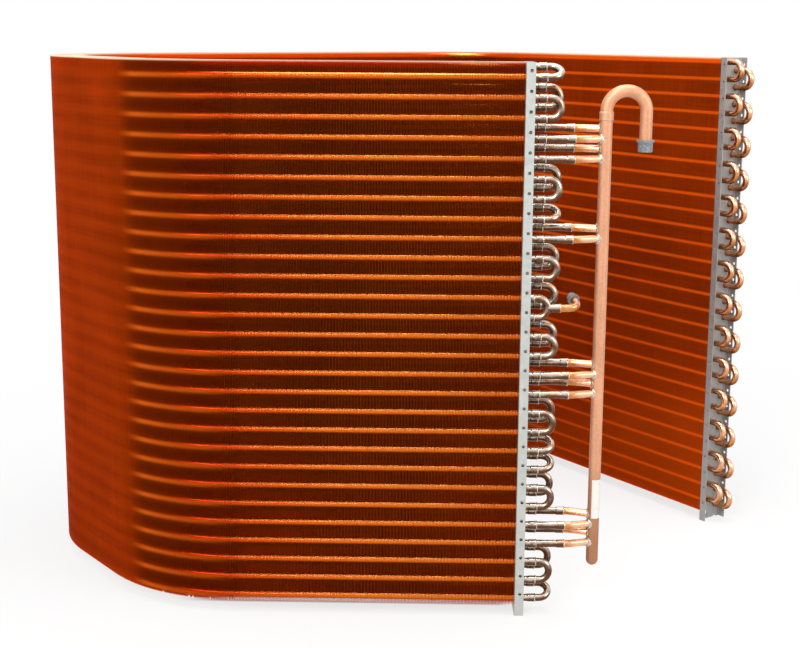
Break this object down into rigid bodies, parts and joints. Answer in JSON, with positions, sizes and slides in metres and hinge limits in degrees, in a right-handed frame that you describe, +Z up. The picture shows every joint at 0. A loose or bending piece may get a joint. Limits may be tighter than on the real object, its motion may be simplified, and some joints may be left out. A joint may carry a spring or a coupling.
{
  "type": "finned condenser coil",
  "caption": "Bent two-row condenser coil: copper hairpin tubes through upright fins round three corners, with end sheets, return bends, a gas header with a hook tube and a liquid tap",
  "frame": {"origin": "middle of the near end sheet's web at its foot, where the sheet stands on its base", "axes": "+X out of the near end, along the front panel and the coil's longest side; +Y into the space that the coil wraps round; +Z up"},
  "size_m": [1.0346, 0.843, 0.7267],
  "materials": {
    "fin_copper": "thin rolled copper fins, dulled to maroon and orange brown",
    "tube_copper": "bright drawn copper tube",
    "heat_stained_copper": "copper bends, silvered and browned by brazing",
    "header_copper": "annealed salmon-pink copper, matte",
    "galvanised_steel": "galvanised sheet with a faint spangle",
    "cap_plastic": "soft grey-blue polyethylene"
  },
  "bodies": {
    "root": {"fins_front": "fin_copper", "fins_left": "fin_copper", "fins_back": "fin_copper", "fins_right": "fin_copper", "hairpin_outer_01": "tube_copper", "hairpin_outer_02": "tube_copper", "hairpin_outer_03": "tube_copper", "hairpin_outer_04": "tube_copper", "hairpin_outer_05": "tube_copper", "hairpin_outer_06": "tube_copper", "hairpin_outer_07": "tube_copper", "hairpin_outer_08": "tube_copper", "hairpin_outer_09": "tube_copper", "hairpin_outer_10": "tube_copper", "hairpin_outer_11": "tube_copper", "hairpin_outer_12": "tube_copper", "hairpin_outer_13": "tube_copper", "hairpin_outer_14": "tube_copper", "hairpin_inner_01": "tube_copper", "hairpin_inner_02": "tube_copper", "hairpin_inner_03": "tube_copper", "hairpin_inner_04": "tube_copper", "hairpin_inner_05": "tube_copper", "hairpin_inner_06": "tube_copper", "hairpin_inner_07": "tube_copper", "hairpin_inner_08": "tube_copper", "hairpin_inner_09": "tube_copper", "hairpin_inner_10": "tube_copper", "hairpin_inner_11": "tube_copper", "hairpin_inner_12": "tube_copper", "hairpin_inner_13": "tube_copper", "hairpin_inner_14": "tube_copper", "return_bend_outer_01": "heat_stained_copper", "return_bend_outer_02": "heat_stained_copper", "return_bend_outer_03": "heat_stained_copper", "return_bend_outer_04": "heat_stained_copper", "return_bend_outer_05": "heat_stained_copper", "return_bend_outer_06": "heat_stained_copper", "return_bend_outer_07": "heat_stained_copper", "return_bend_inner_01": "heat_stained_copper", "return_bend_inner_02": "heat_stained_copper", "return_bend_inner_03": "heat_stained_copper", "return_bend_inner_04": "heat_stained_copper", "return_bend_inner_05": "heat_stained_copper", "return_bend_inner_06": "heat_stained_copper", "return_bend_inner_07": "heat_stained_copper", "return_bend_inner_08": "heat_stained_copper", "cross_bends": "heat_stained_copper", "liquid_tap": "heat_stained_copper", "header_stubs_outer": "heat_stained_copper", "header_stubs_inner": "heat_stained_copper", "header_spigots_outer": "tube_copper", "header_spigots_inner": "tube_copper", "liquid_line": "tube_copper", "near_end_sheet": "galvanised_steel", "far_end_sheet": "galvanised_steel", "header": "header_copper", "hook_tube": "header_copper", "hook_cap": "cap_plastic", "liquid_line_cap": "cap_plastic"}
  },
  "joints": []
}
